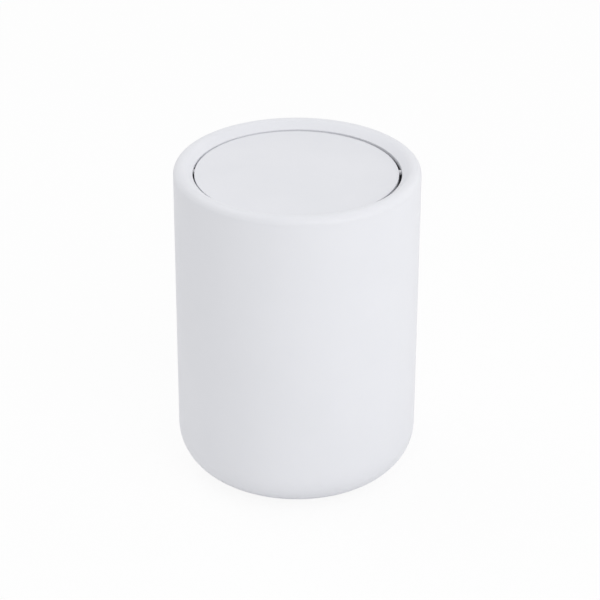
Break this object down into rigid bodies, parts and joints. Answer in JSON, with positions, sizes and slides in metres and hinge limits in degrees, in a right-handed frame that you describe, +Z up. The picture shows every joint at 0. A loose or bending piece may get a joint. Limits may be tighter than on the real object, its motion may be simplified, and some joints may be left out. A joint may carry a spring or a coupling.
{
  "type": "countertop swing-lid bin",
  "caption": "Small round countertop bin with a lift-off dished collar and a flat round lid that swings both ways on side pins.",
  "frame": {"origin": "on the counter, under the middle of the can", "axes": "+Z up, -Y towards the front as seen in the picture, +X to the right; the lid's pins lie along X"},
  "size_m": [0.14, 0.14, 0.19],
  "materials": {
    "can_plastic": "satin",
    "collar_plastic": "satin",
    "lid_plastic": "satin",
    "pin_plastic": "satin",
    "bearing_plastic": "satin",
    "pad_rubber": "matte",
    "weight_steel": "satin",
    "screw_steel": "satin"
  },
  "bodies": {
    "bin": {"bin_body": "can_plastic", "foot_pad_front_left": "pad_rubber", "foot_pad_front_right": "pad_rubber", "foot_pad_rear_left": "pad_rubber", "foot_pad_rear_right": "pad_rubber"},
    "collar": {"top_collar": "collar_plastic", "bearing_left": "bearing_plastic", "bearing_right": "bearing_plastic"},
    "lid": {"lid_top": "lid_plastic", "lid_pan": "lid_plastic", "pivot_pin_left": "pin_plastic", "pivot_pin_right": "pin_plastic", "counterweight": "weight_steel", "weight_screws": "screw_steel", "lid_screws": "screw_steel"}
  },
  "joints": [
    {"name": "collar_lift", "type": "slide", "parent": "bin", "child": "collar", "axis": [0, 0, 1], "range_m": [0, 0.08]},
    {"name": "lid_swing", "type": "hinge", "parent": "collar", "child": "lid", "pos_m": [0, 0.006, 0.1828], "axis": [1, 0, 0], "range_deg": [-80, 80]}
  ]
}
